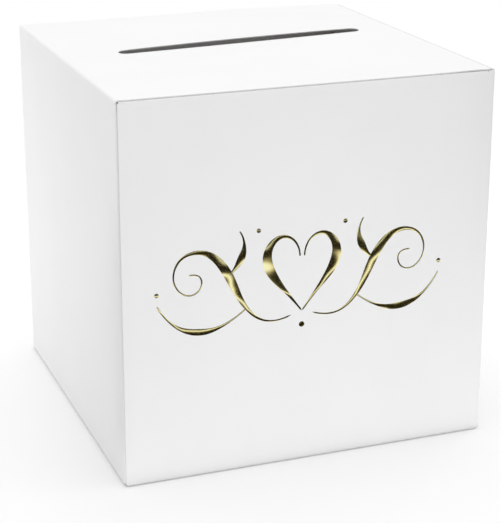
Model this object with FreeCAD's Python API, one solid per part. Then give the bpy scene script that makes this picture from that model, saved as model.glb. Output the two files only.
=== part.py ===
import FreeCAD, Part
import math
import os

# Wedding card box: a tuck-top folding carton in white coated solid board, with a card slot in its lid,
# a snap-lock bottom and a foil ornament stamped on its front.
#
# The origin is the middle of the bottom, +Z is up and the front faces -Y. Everything is in millimetres.
# The lid is hinged on the left panel and tucks in behind the right one.
# Every board lies in a Fold: a plane with a corner line, where the outer faces of two boards would meet.
# A crease rounds that corner, so the boards on each side of it start a setback away from the line.

# ---- driving dimensions ----

WIDTH = 240.0
DEPTH = 240.0
HEIGHT = 240.0
BOARD = 0.8              # thickness of the board
CREASE_R = 1.2           # outer radius of a folded crease
BOTTOM_R = 1.8           # that of the front and rear bottom creases, which are folded last and less sharply
LID_R = 2.0              # that of the lid's hinge, which springs back a little
DUST_R = 0.9             # that of the dust flaps' creases, which the lid holds down
SLIP = 0.3               # room between boards that slide past each other
GLUE = 0.1               # thickness of the glue line
LID_GAP = 0.15           # room between the lid and the dust flaps that press up against it
SEAM_LOW = 0.5           # how far the front panel's free edge stands in from the left, at its bottom
SEAM_HIGH = 1.4          # and at its top
RIM_DROP = 0.5           # how far the right panel's raw top edge stays below the lid's face

SLOT_LENGTH = 168.0
SLOT_WIDTH = 10.5
SLOT_X = 5.0             # middle of the slot
SLOT_Y = 14.5

LID_HINGE_IN = 0.2       # how much shorter the lid's hinge is at each end than the lid
LID_HINGE_SLANT = 6.0    # the lid reaches its full width this far from the hinge
LID_TUCK_SLANT = 3.0     # and narrows to the tuck flap's width over this depth

TUCK_DEPTH = 30.0
TUCK_LEAN = 6.0          # degrees that the tuck flap leans in from the right panel
TUCK_TAPER = 3.0         # how much it narrows at each end
TUCK_R = 12.0            # radius of its lower corners

DUST_DEPTH = 72.0        # the dust flaps stop short of the slot
DUST_HINGE_END = 2.0     # distance of a dust flap's ends from the left and the right of the box
DUST_TUCK_END = 4.6
DUST_HINGE_SLANT = 36.0  # how far its ends slant back over its depth
DUST_TUCK_SLANT = 5.0
DUST_CORNER_R = 12.0     # radius of its free corners

GLUE_FLAP = 18.0         # width of the flap behind the front panel's left edge
GLUE_FLAP_UP = 2.0       # how far above the left panel's bottom edge it begins
GLUE_FLAP_DOWN = 4.0     # how far below the walls' top it ends, clear of the front dust flap
GLUE_FLAP_SLANT = 0.4    # slant of its ends, as a share of its width
GLUE_START = 3.0         # distance of the glue line from the crease
GLUE_WIDTH = 11.0        # width of the glue line

REAR_LEAN = 2.5          # degrees that the rear bottom flap rises over the side flaps
REAR_DEPTH = 112.0
REAR_TAPER = 50.0
REAR_R = 4.0             # radius of its free corners
NOTCH_HALF = 44.0        # half width of the notch that takes the lock tongue
NOTCH_DEPTH = 14.0
NOTCH_R = (2.0, 3.0)     # radius of the notch's outer and inner corners
SIDE_DEPTH = 78.0
SIDE_CORNER = 2.0        # where a side flap's slant would meet the back of the box
SIDE_CLEAR = 3.0         # room between a side flap and the front panel
SIDE_SLANT = 10.0        # how far a side flap's front edge slants back
SIDE_R = 6.0             # radius of its free corners
FRONT_DEPTH = 120.0
FRONT_SHOULDER = 70.0    # depth at which the front flap's slanted corners begin
FRONT_WAIST_IN = 5.0     # how much narrower it is there at each side
FRONT_END = 70.0         # half length of its free edge
TONGUE_HALF = 38.0
TONGUE_LENGTH = 36.0
TONGUE_LEAN = 14.0       # degrees that the tongue bends up over the rear flap
TONGUE_R = 12.0

FOIL = 0.1               # how far the foil stands proud of the front
FOIL_X = -6.0            # middle of the ornament
FOIL_Z = 122.0
HAIRLINE = 0.9           # width of a stroke of foil at its ends
STATIONS = 36            # cross-sections along a stroke

# Strokes of the right half of the ornament, mirrored for the left: the poles of the smooth curve along the
# middle, the width of the swell, how far along it lies and how far it spreads, as fractions of the length.
HEART = {"poles": [(1.5, 13), (1.5, 19), (7, 27), (17, 27), (24, 17), (21, 3), (9, -10), (0, -22)],
         "swell": 6.2, "middle": 0.52, "spread": 0.24}
SCROLL = {"poles": [(7, -24), (22, -30), (38, -17), (45, 4), (58, 24), (78, 23), (84, 6), (74, -6), (62, -1),
                    (64, 10), (72, 9)],
          "swell": 5.6, "middle": 0.40, "spread": 0.17}
FROND = {"poles": [(36, -16), (50, -27), (68, -30), (84, -22), (92, -8)],
         "swell": 4.2, "middle": 0.50, "spread": 0.20}
LEAF = {"poles": [(47, 6), (38, 14), (34, 24), (40, 33)],
        "swell": 4.6, "middle": 0.42, "spread": 0.24}
DOTS = [(0, -31, 1.8), (28, 32, 1.4), (-28, 32, 1.4), (92, -1, 1.4), (-92, -1, 1.4)]   # x, z and radius

# ---- levels worked out from them ----

HALF_W = WIDTH / 2
HALF_D = DEPTH / 2
SIDE_TOP = HEIGHT - BOARD - LID_GAP      # top of the dust flaps
SIDE_BOTTOM = BOARD + SLIP               # the side flaps lie on the front flap
RIM_TOP = HEIGHT - RIM_DROP
TUCK_X = HALF_W - BOARD - SLIP           # outer face of the tuck flap at its crease
DUST_X0 = -HALF_W + DUST_HINGE_END       # ends of the dust flaps' creases
DUST_X1 = HALF_W - DUST_TUCK_END
FLAP_Y = -HALF_D + BOARD + GLUE          # outer face of the glue flap

X = FreeCAD.Vector(1, 0, 0)
Y = FreeCAD.Vector(0, 1, 0)
Z = FreeCAD.Vector(0, 0, 1)


def leaning(flat, up, degrees):
    """The direction `flat`, turned by some degrees towards `up`."""
    angle = math.radians(degrees)
    return flat * math.cos(angle) + up * math.sin(angle)


class Fold:
    """A board's plane: a point on its corner line, the line's direction, the way away from it, and out."""

    def __init__(self, corner, along, away, out):
        self.corner = corner
        self.along = along
        self.away = away
        self.out = out

    def at(self, a, b):
        """The point of the outer face at `a` along the corner line and `b` away from it."""
        return self.corner + self.along * a + self.away * b

    def edges(self, outline):
        """Lines through (a, b) points, with an arc at each point given a radius as its third value."""
        corners = [(self.at(p[0], p[1]), p[2] if len(p) > 2 else 0.0) for p in outline]
        runs = []
        for i, (here, radius) in enumerate(corners):
            before = (corners[i - 1][0] - here).normalize()
            after = (corners[(i + 1) % len(corners)][0] - here).normalize()
            if radius:
                half = before.getAngle(after) / 2
                reach = radius / math.tan(half)
                middle = (before + after).normalize() * (radius / math.sin(half) - radius)
                runs.append((here + before * reach, here + middle, here + after * reach))
            else:
                runs.append((here,))
        shapes = []
        for i, run in enumerate(runs):
            if len(run) == 3:
                shapes.append(Part.Arc(*run).toShape())
            shapes.append(Part.makeLine(run[-1], runs[(i + 1) % len(runs)][0]))
        return shapes

    def board(self, outline, thickness=BOARD):
        """A flat piece of board with that outline, going inwards from the outer face."""
        face = Part.Face(Part.Wire(self.edges(outline)))
        return face.extrude(self.out * -thickness)


def setback(one, other, radius=CREASE_R):
    """How far from the corner line two boards start, so that a crease of that outer radius joins them."""
    return radius / math.tan(one.getAngle(other) / 2)


def crease(corner, one, other, along, start, end, radius=CREASE_R):
    """The rounded strip of board that joins two boards going off in directions `one` and `other`."""
    back = setback(one, other, radius)
    bisector = (one + other).normalize()
    centre = corner + bisector * (radius / math.sin(one.getAngle(other) / 2))
    outer = [corner + one * back, centre - bisector * radius, corner + other * back]
    inner = [centre + (p - centre) * ((radius - BOARD) / radius) for p in outer]
    edges = [
        Part.Arc(*outer).toShape(),
        Part.makeLine(outer[2], inner[2]),
        Part.Arc(*inner[::-1]).toShape(),
        Part.makeLine(inner[0], outer[0]),
    ]
    profile = Part.Face(Part.Wire(edges))
    profile.translate(along * start)
    return profile.extrude(along * (end - start))


def rectangle(a0, b0, a1, b1):
    return [(a0, b0), (a1, b0), (a1, b1), (a0, b1)]


# ---- the four walls ----

CORNER_Z0 = SIDE_BOTTOM + CREASE_R       # the upright creases stop short of the flaps
CORNER_Z1 = HEIGHT - LID_R - SLIP        # and on the left of the lid's crease
REAR_AWAY = leaning(-Y, Z, REAR_LEAN)    # the way the rear bottom flap goes from its crease


def walls():
    front = Fold(FreeCAD.Vector(0, -HALF_D, 0), X, Z, -Y)
    back = Fold(FreeCAD.Vector(0, HALF_D, 0), X, Z, Y)
    left = Fold(FreeCAD.Vector(-HALF_W, 0, 0), Y, Z, -X)
    right = Fold(FreeCAD.Vector(HALF_W, 0, 0), Y, Z, X)
    wide = HALF_W - CREASE_R
    edge = HALF_D - CREASE_R
    back_low = setback(Z, REAR_AWAY, BOTTOM_R)
    folded = SIDE_TOP - DUST_R
    ear = DUST_X1 + SLIP
    top_right = [(wide, SIDE_TOP), (ear, SIDE_TOP), (ear, folded)]
    return {
        "front_panel": front.board(
            [(-HALF_W + SEAM_LOW, BOTTOM_R), (wide, BOTTOM_R), *top_right, (-HALF_W + SEAM_HIGH, folded)]),
        "back_panel": back.board([(-wide, back_low), (wide, back_low), *top_right, (-wide, folded)]),
        "left_panel": left.board(rectangle(FLAP_Y + CREASE_R, CORNER_Z0, edge, HEIGHT - LID_R)),
        "right_panel": right.board(rectangle(-edge, CORNER_Z0, edge, RIM_TOP)),
    }


def upright_creases():
    corners = {
        "front_right_crease": (HALF_W, -HALF_D, -X, Y, SIDE_TOP),
        "back_right_crease": (HALF_W, HALF_D, -X, -Y, SIDE_TOP),
        "back_left_crease": (-HALF_W, HALF_D, X, -Y, CORNER_Z1),
        "front_left_crease": (-HALF_W, FLAP_Y, X, Y, CORNER_Z1),
    }
    return {
        name: crease(FreeCAD.Vector(x, y, 0), one, other, Z, CORNER_Z0, top)
        for name, (x, y, one, other, top) in corners.items()
    }


def glue_seam():
    """The flap on the left panel's front edge, behind the front panel, and the glue between them."""
    flap = Fold(FreeCAD.Vector(-HALF_W, FLAP_Y, 0), X, Z, -Y)
    slant = GLUE_FLAP * GLUE_FLAP_SLANT
    low, high = CORNER_Z0 + GLUE_FLAP_UP, CORNER_Z1 - GLUE_FLAP_DOWN
    outline = [(CREASE_R, low), (GLUE_FLAP, low + slant), (GLUE_FLAP, high - slant), (CREASE_R, high)]
    start = CREASE_R + GLUE_START
    line = rectangle(start, low + slant, start + GLUE_WIDTH, high - slant)
    glue = Fold(FreeCAD.Vector(-HALF_W, FLAP_Y - GLUE, 0), X, Z, -Y)
    return {"glue_flap": flap.board(outline), "glue_line": glue.board(line, GLUE)}


# ---- the snap-lock bottom ----

BOTTOM_END = HALF_W - CREASE_R - SLIP    # half length of the front and rear bottom creases
SIDE_END = HALF_D - CREASE_R - SLIP      # half length of the side ones


def bottom_flaps():
    front = Fold(FreeCAD.Vector(0, -HALF_D, 0), X, Y, -Z)
    waist = BOTTOM_END - FRONT_WAIST_IN
    front_outline = [
        (-BOTTOM_END, BOTTOM_R), (BOTTOM_END, BOTTOM_R), (waist, FRONT_SHOULDER),
        (FRONT_END, FRONT_DEPTH), (-FRONT_END, FRONT_DEPTH), (-waist, FRONT_SHOULDER),
    ]

    tongue_line = FreeCAD.Vector(0, FRONT_DEPTH - HALF_D, BOARD)
    tongue_out = leaning(-Z, Y, TONGUE_LEAN)
    tongue = Fold(tongue_line + tongue_out * BOARD, X, leaning(Y, Z, TONGUE_LEAN), tongue_out)
    tongue_outline = [
        (-TONGUE_HALF, 0), (TONGUE_HALF, 0),
        (TONGUE_HALF, TONGUE_LENGTH, TONGUE_R), (-TONGUE_HALF, TONGUE_LENGTH, TONGUE_R),
    ]

    rear = Fold(FreeCAD.Vector(0, HALF_D, 0), X, REAR_AWAY, leaning(-Z, -Y, REAR_LEAN))
    start = setback(Z, REAR_AWAY, BOTTOM_R)
    wide = BOTTOM_END
    narrow = wide - REAR_TAPER
    bay = REAR_DEPTH - NOTCH_DEPTH
    rear_outline = [
        (-wide, start), (wide, start), (narrow, start + REAR_TAPER), (narrow, REAR_DEPTH, REAR_R),
        (NOTCH_HALF, REAR_DEPTH, NOTCH_R[0]), (NOTCH_HALF, bay, NOTCH_R[1]),
        (-NOTCH_HALF, bay, NOTCH_R[1]), (-NOTCH_HALF, REAR_DEPTH, NOTCH_R[0]),
        (-narrow, REAR_DEPTH, REAR_R), (-narrow, start + REAR_TAPER),
    ]

    flaps = {
        "bottom_front_flap": front.board(front_outline),
        "bottom_lock_tongue": tongue.board(tongue_outline),
        "bottom_rear_flap": rear.board(rear_outline),
    }
    slant = HALF_D - SIDE_CORNER         # a side flap's rear edge runs at 45 degrees from here
    front_y = -HALF_D + SIDE_CLEAR
    side_outline = [
        (front_y, CREASE_R), (front_y + SIDE_SLANT, SIDE_DEPTH, SIDE_R),
        (slant - SIDE_DEPTH, SIDE_DEPTH, SIDE_R), (slant - CREASE_R, CREASE_R),
    ]
    for name, side in (("left", -1), ("right", 1)):
        fold = Fold(FreeCAD.Vector(side * HALF_W, 0, SIDE_BOTTOM), Y, X * -side, -Z)
        flaps[f"bottom_{name}_flap"] = fold.board(side_outline)
    return flaps


def bottom_creases():
    side_start = -HALF_D + SIDE_CLEAR
    side_end = HALF_D - SIDE_CORNER - CREASE_R
    strips = {
        "bottom_front_crease": crease(
            FreeCAD.Vector(0, -HALF_D, 0), Z, Y, X, -BOTTOM_END, BOTTOM_END, BOTTOM_R),
        "bottom_rear_crease": crease(
            FreeCAD.Vector(0, HALF_D, 0), Z, REAR_AWAY, X, -BOTTOM_END, BOTTOM_END, BOTTOM_R),
    }
    for name, side in (("left", -1), ("right", 1)):
        corner = FreeCAD.Vector(side * HALF_W, 0, SIDE_BOTTOM)
        strips[f"bottom_{name}_crease"] = crease(corner, Z, X * -side, Y, side_start, side_end)
    return strips


# ---- the lid with its tuck flap, and the dust flaps under it ----

LID_END = HALF_D - SLIP                  # half width of the lid, from front to back
TUCK_END = HALF_D - BOARD - SLIP
TUCK_DOWN = leaning(-Z, -X, TUCK_LEAN)


def slot_cutter():
    """A slot with round ends, cut right through the lid."""
    radius = SLOT_WIDTH / 2
    half = SLOT_LENGTH / 2 - radius
    middle = FreeCAD.Vector(SLOT_X, SLOT_Y, HEIGHT - 2 * BOARD)
    deep = 4 * BOARD
    bar = Part.makeBox(2 * half, SLOT_WIDTH, deep, middle - FreeCAD.Vector(half, radius, 0))
    ends = [Part.makeCylinder(radius, deep, middle + X * side * half) for side in (-1, 1)]
    return bar.fuse(ends).removeSplitter()


def lid():
    top = Fold(FreeCAD.Vector(-HALF_W, 0, HEIGHT), Y, X, Z)
    hinge_end = LID_END - LID_HINGE_IN
    tuck_edge = HALF_W + TUCK_X - setback(-X, TUCK_DOWN)
    narrowing = tuck_edge - LID_TUCK_SLANT
    blank = top.board([
        (-hinge_end, LID_R), (hinge_end, LID_R), (LID_END, LID_HINGE_SLANT),
        (LID_END, narrowing), (TUCK_END, tuck_edge), (-TUCK_END, tuck_edge),
        (-LID_END, narrowing), (-LID_END, LID_HINGE_SLANT),
    ])
    tuck_corner = FreeCAD.Vector(TUCK_X, 0, HEIGHT)
    tuck = Fold(tuck_corner, Y, TUCK_DOWN, leaning(X, -Z, TUCK_LEAN))
    start = setback(-X, TUCK_DOWN)
    tuck_outline = [
        (-TUCK_END, start), (TUCK_END, start),
        (TUCK_END - TUCK_TAPER, TUCK_DEPTH, TUCK_R), (-TUCK_END + TUCK_TAPER, TUCK_DEPTH, TUCK_R),
    ]
    return {
        "lid_panel": blank.cut(slot_cutter()),
        "lid_crease": crease(FreeCAD.Vector(-HALF_W, 0, HEIGHT), -Z, X, Y, -hinge_end, hinge_end, LID_R),
        "tuck_crease": crease(tuck_corner, -X, TUCK_DOWN, Y, -TUCK_END, TUCK_END),
        "tuck_flap": tuck.board(tuck_outline),
    }


def dust_flaps():
    """Flaps that fold in under the lid from the front and the back, with slanted ends."""
    outline = [
        (DUST_X0, DUST_R), (DUST_X0 + DUST_HINGE_SLANT, DUST_DEPTH, DUST_CORNER_R),
        (DUST_X1 - DUST_TUCK_SLANT, DUST_DEPTH, DUST_CORNER_R), (DUST_X1, DUST_R),
    ]
    pieces = {}
    for name, side in (("front", -1), ("back", 1)):
        corner = FreeCAD.Vector(0, side * HALF_D, SIDE_TOP)
        fold = Fold(corner, X, Y * -side, Z)
        pieces[f"{name}_dust_flap"] = fold.board(outline)
        pieces[f"{name}_dust_crease"] = crease(corner, -Z, Y * -side, X, DUST_X0, DUST_X1, DUST_R)
    return pieces


# ---- the foil ornament ----

def stroke(side, poles, swell, middle, spread):
    """A pen stroke of foil: hairline ends, a swell between them, on a smooth curve through the ornament."""
    places = [FreeCAD.Vector(FOIL_X + side * x, -HALF_D, FOIL_Z + z) for x, z in poles]
    inner = len(places) - 3
    curve = Part.BSplineCurve()
    curve.buildFromPolesMultsKnots(places, [4] + [1] * (inner - 1) + [4], range(inner + 1), False, 3)
    length = curve.length()
    edges = ([], [])
    for i in range(STATIONS + 1):
        along = i / STATIONS
        at = curve.parameterAtDistance(along * length)
        sideways = Y.cross(curve.tangent(at)[0]).normalize()
        bump = math.exp(-((along - middle) / spread) ** 2)
        width = HAIRLINE + (swell - HAIRLINE) * bump
        for edge, hand in zip(edges, (0.5, -0.5)):
            edge.append(curve.value(at) + sideways * (width * hand))
    shapes = []
    for edge in edges:
        rim = Part.BSplineCurve()
        rim.interpolate(edge)
        shapes.append(rim.toShape())
    shapes.append(Part.makeLine(edges[0][0], edges[1][0]))
    shapes.append(Part.makeLine(edges[0][-1], edges[1][-1]))
    face = Part.Face(Part.Wire(Part.__sortEdges__(shapes)))
    return face.extrude(Y * -FOIL)


def foil():
    dots = [
        Part.makeCylinder(radius, FOIL, FreeCAD.Vector(FOIL_X + x, -HALF_D, FOIL_Z + z), -Y)
        for x, z, radius in DOTS
    ]
    ornament = {
        "foil_heart": stroke(-1, **HEART).fuse(stroke(1, **HEART)),
        "foil_dots": Part.Compound(dots),
    }
    for name, side in (("left", -1), ("right", 1)):
        strokes = [stroke(side, **spec) for spec in (SCROLL, FROND, LEAF)]
        ornament[f"foil_{name}_scroll"] = strokes[0].fuse(strokes[1:])
    return ornament


pieces = {}
for group in (walls, upright_creases, glue_seam, bottom_flaps, bottom_creases, lid, dust_flaps, foil):
    pieces.update(group())

os.makedirs("parts", exist_ok=True)
for name, shape in pieces.items():
    solids = shape.Solids
    if not shape.isValid() or not solids:
        raise RuntimeError(f"{name} is not a valid solid")
    shape.exportStep(f"parts/{name}.step")
    print(f"{name}: {len(solids)} solid, {shape.Volume:.1f} mm3")
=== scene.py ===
import math
import bpy
import numpy as np
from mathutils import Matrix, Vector


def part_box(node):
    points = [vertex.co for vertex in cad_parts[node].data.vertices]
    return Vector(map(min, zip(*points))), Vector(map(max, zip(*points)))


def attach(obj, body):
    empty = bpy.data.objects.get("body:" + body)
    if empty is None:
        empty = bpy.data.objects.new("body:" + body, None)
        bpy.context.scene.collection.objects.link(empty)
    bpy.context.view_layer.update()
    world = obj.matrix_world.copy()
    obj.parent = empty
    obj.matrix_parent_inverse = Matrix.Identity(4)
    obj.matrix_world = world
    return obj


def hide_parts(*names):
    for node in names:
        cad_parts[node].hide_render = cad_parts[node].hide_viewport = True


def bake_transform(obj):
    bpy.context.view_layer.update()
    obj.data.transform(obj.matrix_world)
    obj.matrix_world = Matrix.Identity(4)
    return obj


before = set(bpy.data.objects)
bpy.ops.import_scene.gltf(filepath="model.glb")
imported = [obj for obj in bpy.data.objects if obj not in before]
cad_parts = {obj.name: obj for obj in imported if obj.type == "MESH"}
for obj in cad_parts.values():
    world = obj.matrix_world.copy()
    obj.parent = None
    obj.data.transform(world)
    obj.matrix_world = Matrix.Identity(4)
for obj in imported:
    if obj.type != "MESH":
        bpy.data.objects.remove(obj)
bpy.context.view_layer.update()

# Wedding card box: a tuck-top folding carton in white coated board, with a card slot in its lid and gold
# foil stamped on its front. The imported model gives every corner line, board and crease. Here each board
# becomes a thin closed shell with a coated face, an uncoated inner face and raw cut edges, each crease a
# rounded strip, and the foil ribbons that follow the front's slight bow.

bl_info = {
    "name": "Wedding card box",
    "version": (1, 0, 0),
    "blender": (4, 5, 0),
    "location": "3D View > Sidebar > Card box",
    "description": "Builds the boards, creases and foil of a folding card box around its CAD frame",
    "category": "Object",
}

MM = 0.001


def linear(code):
    """An sRGB hex colour as linear red, green, blue and alpha."""
    srgb = np.array([int(code[i:i + 2], 16) / 255 for i in (0, 2, 4)])
    low, high = srgb / 12.92, ((srgb + 0.055) / 1.055) ** 2.4
    return (*np.where(srgb <= 0.04045, low, high), 1.0)


# ---- the frame's dimensions, in metres ----

def corner(node, side):
    """Lowest (side 0) or highest (side 1) corner of a CAD node."""
    return np.array(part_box(node)[side])


# Outer faces of the walls and of the lid.
LEFT_X = corner("left_panel", 0)[0]
RIGHT_X = corner("right_panel", 1)[0]
FRONT_Y = corner("front_panel", 0)[1]
BACK_Y = corner("back_panel", 1)[1]
TOP_Z = corner("lid_panel", 1)[2]

# The dust flaps' upper face, the bottom side flaps' lower face, the glue flap's outer face, and the far side
# of the fold between the lid and its tuck flap.
SIDE_TOP = corner("front_dust_flap", 1)[2]
SIDE_BOTTOM = corner("bottom_left_flap", 0)[2]
FLAP_Y = corner("glue_flap", 0)[1]
TUCK_X = corner("tuck_crease", 1)[0]

# The board's thickness, and the creases' outer radii: most of them, the bottom's front and rear ones, the
# lid's hinge, and the dust flaps' ones.
BOARD = corner("front_panel", 1)[1] - corner("front_panel", 0)[1]
CREASE = corner("back_right_crease", 1)[0] - corner("back_right_crease", 0)[0]
BOTTOM_CREASE = corner("front_panel", 0)[2]
LID_CREASE = TOP_Z - corner("left_panel", 1)[2]
DUST_CREASE = SIDE_TOP - corner("front_dust_crease", 0)[2]

X = np.array([1.0, 0.0, 0.0])
Y = np.array([0.0, 1.0, 0.0])
Z = np.array([0.0, 0.0, 1.0])


# ---- settings ----

def colour(name, description, code):
    """A colour setting whose default is an sRGB hex colour."""
    return bpy.props.FloatVectorProperty(
        name=name, description=description, default=linear(code), subtype="COLOR", size=4, min=0, max=1)


def length(name, description, millimetres):
    """A length setting whose default is in millimetres."""
    return bpy.props.FloatProperty(
        name=name, description=description, default=millimetres * MM, unit="LENGTH", precision=5)


def power(name, description, watts):
    """A lamp's power setting."""
    return bpy.props.FloatProperty(
        name=name, description=description, default=watts, unit="POWER", precision=4)


class BoardSettings(bpy.types.PropertyGroup):
    """Colours of the board, and how its faces and edges differ from the frame's flat ones"""
    coated: colour("Coated face", "Clay-coated face", "F6F6F6")
    coated_thin: colour("Thin coat", "Coated face where the coat is thinner", "F2F2F2")
    uncoated: colour("Uncoated face", "Bare inner face", "EEEEEC")
    uncoated_dark: colour("Uncoated fibres", "Darker fibres on the inner face", "E4E3E1")
    core: colour("Cut edge", "Fibres of a cut edge", "E9E8E6")
    core_dark: colour("Cut edge, dark", "Darker layers of a cut edge", "D6D5D2")
    glue: colour("Glue", "Dried glue", "DDD6BE")
    bow: length("Bow", "How far a wall stands out in its middle", 0.6)
    seam: length("Seam groove", "How much further the front's free edge stands in than in the frame", 0.4)
    slant: length("Seam slant", "How much further still it stands in at its top", 0.25)
    spring: length("Seam spring", "How far the top of the seam's unglued margin stands off", 0.45)
    curl: length("Lid curl", "How far the lid's front edge curls up beside its tuck flap", 0.3)
    lip_rise: length("Slot lip rise", "How far the slot's rear lip springs up", 0.9)
    lip_drop: length("Slot lip drop", "How far the slot's front lip sags", 0.25)
    twist: length("Lid twist", "How far the lid rises at the slot's right end and sinks at its left end", 1.9)
    lift: length("Lid lift", "How far the back dust flap pushes up the lid's rear edge", 1.0)
    edge_round: length("Edge rounding", "Radius left by the cutting rule on an edge", 0.15)
    slot_length: length("Slot length", "Length of the card slot, end to end", 168.0)
    slot_width: length("Slot width", "Width of the card slot", 10.5)
    slot_x: length("Slot, across", "Middle of the slot, to the right of the box's middle", 5.0)
    slot_y: length("Slot, back", "Middle of the slot, behind the box's middle", 14.5)


class FoilSettings(bpy.types.PropertyGroup):
    """Colour, strokes and place of the foil ornament"""
    gold: colour("Gold", "Reflection of the lacquered foil", "F4E29A")
    hairline: length("Hairline", "Width of a stroke at its ends", 0.9)
    crown: bpy.props.FloatProperty(
        name="Crown", description="Height of a stroke's middle over its rims, as a share of its width",
        default=0.014, min=0, max=0.3)
    middle_z: length("Height", "Height of the ornament's middle over the floor", 122.0)


class StageSettings(bpy.types.PropertyGroup):
    """Levels of the floor, the room and the lamps"""
    paper: colour("Floor paper", "Floor paper, as it lights the box", "DCDCDC")
    shade: colour("Floor shade", "Floor paper's share in what shows, which keeps the shadow", "EDEDED")
    glow: bpy.props.FloatProperty(
        name="Floor glow", description="Level of plain white in what shows of the floor", default=0.1,
        min=0, max=1)
    walls: bpy.props.FloatProperty(
        name="Room walls", description="Level of the light from the sides", default=0.2, min=0)
    ceiling: bpy.props.FloatProperty(
        name="Ceiling", description="Level of the light from straight above", default=1.495, min=0)
    rear_left: power("Rear left", "Soft light low beside the rear left corner", 0.44)
    bounce: power("Front bounce", "Light off the paper in front of the box", 0.405)
    rear_right: power("Rear right", "Soft light over the floor on the right", 0.2)
    front: power("Front", "Soft light in front of the box, to the left", 0.3)
    inside: power("Through the board", "Light that comes through the thin white walls into the box", 0.027)


def settings():
    """The scene's settings of the board, the foil and the stage."""
    scene = bpy.context.scene
    return scene.card_box_board, scene.card_box_foil, scene.card_box_stage


# ---- materials ----

def add_node(tree, kind, links=None, **values):
    """A node with its settings and input values; links maps an input's name or index to an output socket."""
    node = tree.nodes.new(kind)
    for key, value in values.items():
        if hasattr(node, key):
            setattr(node, key, value)
        else:
            node.inputs[key.replace("_", " ")].default_value = value
    for key, source in (links or {}).items():
        tree.links.new(source, node.inputs[key])
    return node


def finish(build):
    """The material that a function of that name builds, made the first time it is asked for. The function
    gets the node tree and Object coordinates, and returns the shader's output."""
    material = bpy.data.materials.get(build.__name__)
    if not material:
        material = bpy.data.materials.new(build.__name__)
        material.use_nodes = True
        tree = material.node_tree
        tree.nodes.clear()
        place = add_node(tree, "ShaderNodeTexCoord").outputs["Object"]
        add_node(tree, "ShaderNodeOutputMaterial", {"Surface": build(tree, place)})
    return material


def noise(tree, place, size, detail):
    """Noise whose patches are about that size across."""
    return add_node(
        tree, "ShaderNodeTexNoise", {"Vector": place}, Scale=1 / size, Detail=detail).outputs["Fac"]


def clay_coated_board(tree, place):
    """Solid bleached board, blade-coated with clay and calendered: a smooth satin white, with a faint fibre
    tooth that breaks up its sheen, and a broad mottle where the coat is thinner."""
    board = settings()[0]
    tooth = noise(tree, place, 0.9 * MM, 3.0)
    tint = add_node(
        tree, "ShaderNodeMix", {"Factor": noise(tree, place, 45 * MM, 2.0)}, data_type="RGBA",
        A=board.coated_thin, B=board.coated)
    rough = add_node(tree, "ShaderNodeMapRange", {"Value": tooth}, To_Min=0.40, To_Max=0.52)
    bump = add_node(tree, "ShaderNodeBump", {"Height": tooth}, Strength=0.12, Distance=0.02 * MM)
    return add_node(
        tree, "ShaderNodeBsdfPrincipled",
        {"Base Color": tint.outputs["Result"], "Roughness": rough.outputs["Result"],
         "Normal": bump.outputs["Normal"]}, IOR=1.5).outputs["BSDF"]


def uncoated_board(tree, place):
    """The bare back of the same board, as the felt left it: matte, a little warmer, with visible fibres."""
    board = settings()[0]
    fibres = noise(tree, place, 0.6 * MM, 5.0)
    tint = add_node(
        tree, "ShaderNodeMix", {"Factor": fibres}, data_type="RGBA", A=board.uncoated_dark, B=board.uncoated)
    bump = add_node(tree, "ShaderNodeBump", {"Height": fibres}, Strength=0.3, Distance=0.04 * MM)
    return add_node(
        tree, "ShaderNodeBsdfPrincipled",
        {"Base Color": tint.outputs["Result"], "Normal": bump.outputs["Normal"]},
        Roughness=0.85, IOR=1.45).outputs["BSDF"]


def die_cut_board_core(tree, place):
    """The board's core where a steel rule cut it: pressed fibre layers, rough and a little darker."""
    board = settings()[0]
    layers = noise(tree, place, 0.25 * MM, 4.0)
    tint = add_node(
        tree, "ShaderNodeMix", {"Factor": layers}, data_type="RGBA", A=board.core_dark, B=board.core)
    bump = add_node(tree, "ShaderNodeBump", {"Height": layers}, Strength=0.5, Distance=0.05 * MM)
    return add_node(
        tree, "ShaderNodeBsdfPrincipled",
        {"Base Color": tint.outputs["Result"], "Normal": bump.outputs["Normal"]},
        Roughness=0.9, IOR=1.4).outputs["BSDF"]


def dried_dispersion_glue(tree, place):
    """Water-based carton glue, dried to a thin yellowish film with a soft shine."""
    ripples = noise(tree, place, 2 * MM, 2.0)
    bump = add_node(tree, "ShaderNodeBump", {"Height": ripples}, Strength=0.4, Distance=0.05 * MM)
    return add_node(
        tree, "ShaderNodeBsdfPrincipled", {"Normal": bump.outputs["Normal"]},
        Base_Color=settings()[0].glue, Roughness=0.35, IOR=1.48).outputs["BSDF"]


def hot_stamped_gold_foil(tree, place):
    """Aluminium evaporated on a film under gold lacquer, pressed on with a heated die: a bright yellow mirror
    that the board under it leaves slightly uneven, so that reflections sway along each stroke."""
    sway = noise(tree, place, 30 * MM, 1.0)
    grain = noise(tree, place, 1.4 * MM, 3.0)
    broad = add_node(tree, "ShaderNodeBump", {"Height": sway}, Strength=1.0, Distance=1.6 * MM)
    fine = add_node(
        tree, "ShaderNodeBump", {"Height": grain, "Normal": broad.outputs["Normal"]},
        Strength=0.08, Distance=0.02 * MM)
    return add_node(
        tree, "ShaderNodeBsdfPrincipled", {"Normal": fine.outputs["Normal"]},
        Base_Color=settings()[1].gold, Metallic=1.0, Roughness=0.09).outputs["BSDF"]


# ---- meshes ----

def grid(rows, columns, closed=False):
    """Quads between neighbouring points of a grid numbered row by row; closed joins the last column to the
    first."""
    row = np.arange(rows - 1)[:, None] * columns
    column = np.arange(columns if closed else columns - 1)[None, :]
    after = (column + 1) % columns
    quads = np.stack([row + column, row + after, row + columns + after, row + columns + column], axis=-1)
    return quads.reshape(-1, 4)


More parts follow.
